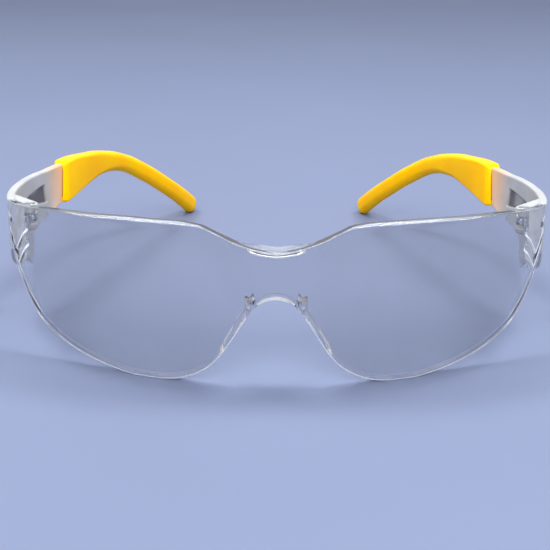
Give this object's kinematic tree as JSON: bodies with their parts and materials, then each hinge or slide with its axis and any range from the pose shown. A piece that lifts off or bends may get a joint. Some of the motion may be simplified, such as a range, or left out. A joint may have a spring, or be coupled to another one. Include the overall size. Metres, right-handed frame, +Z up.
{
  "type": "safety glasses",
  "caption": "Wrap-around safety glasses with a one-piece clear lens, moulded nose pads and folding clear temples with yellow grips.",
  "frame": {"origin": "middle of the footprint, on the surface that the open glasses stand on", "axes": "+Z up, +Y from the lens towards the temple tips, +X to the wearer's left"},
  "size_m": [0.1446, 0.1575, 0.0423],
  "materials": {
    "clear_lens": "polished clear polycarbonate",
    "clear_arm": "frosted translucent polycarbonate",
    "yellow_grip": "smooth soft-touch elastomer",
    "screw_metal": "turned"
  },
  "bodies": {
    "lens": {"lens": "clear_lens"},
    "temple_left": {"temple_left": "clear_arm", "temple_grip_left": "yellow_grip", "hinge_screw_left": "screw_metal"},
    "temple_right": {"temple_right": "clear_arm", "temple_grip_right": "yellow_grip", "hinge_screw_right": "screw_metal"}
  },
  "joints": [
    {"name": "temple_left_fold", "type": "hinge", "parent": "lens", "child": "temple_left", "pos_m": [0.0636, -0.0435, 0.0337], "axis": [0, 0, 1], "range_deg": [0, 79]},
    {"name": "temple_right_fold", "type": "hinge", "parent": "lens", "child": "temple_right", "pos_m": [-0.0636, -0.0435, 0.0337], "axis": [0, 0, -1], "range_deg": [0, 67]}
  ]
}
